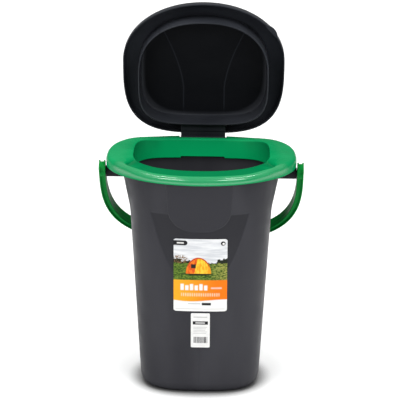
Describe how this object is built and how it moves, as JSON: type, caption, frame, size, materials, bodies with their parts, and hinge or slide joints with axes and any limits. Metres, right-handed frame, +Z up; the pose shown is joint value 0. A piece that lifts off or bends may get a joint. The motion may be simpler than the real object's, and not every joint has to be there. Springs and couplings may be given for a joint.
{
  "type": "portable camp toilet",
  "caption": "Tapered bucket toilet with a lift-off seat ring, a domed lid open on a rear hinge and a carrying bail behind.",
  "frame": {"origin": "centre of the tub's flat base, on the ground", "axes": "+Z up along the tub, the front faces -Y, +X is the right hand of someone who looks at the front"},
  "size_m": [0.3894, 0.3214, 0.7114],
  "materials": {
    "tub_plastic": "dark grey, finely grained polypropylene with a satin sheen",
    "seat_plastic": "mid green, smooth and glossy",
    "lid_plastic": "near black, smooth with a soft gloss",
    "bail_plastic": "deeper green, satin",
    "pin_plastic": "black, satin",
    "label_film": null,
    "info_film": "white printed film with plain bars"
  },
  "bodies": {
    "tub_body": {"tub": "tub_plastic", "front_label": "label_film", "info_label": "info_film"},
    "seat_body": {"seat_ring": "seat_plastic", "lid_hinge_pin": "pin_plastic"},
    "lid_body": {"lid": "lid_plastic"},
    "bail_body": {"bail_handle": "bail_plastic"}
  },
  "joints": [
    {"name": "seat_lift", "type": "slide", "parent": "tub_body", "child": "seat_body", "axis": [0, 0, 1], "range_m": [0, 0.13]},
    {"name": "lid_hinge", "type": "hinge", "parent": "seat_body", "child": "lid_body", "pos_m": [0, 0.134, 0.4455], "axis": [1, 0, 0], "range_deg": [0, 90]},
    {"name": "bail_swing", "type": "hinge", "parent": "tub_body", "child": "bail_body", "pos_m": [0, 0, 0.418], "axis": [1, 0, 0], "range_deg": [0, 53]}
  ]
}
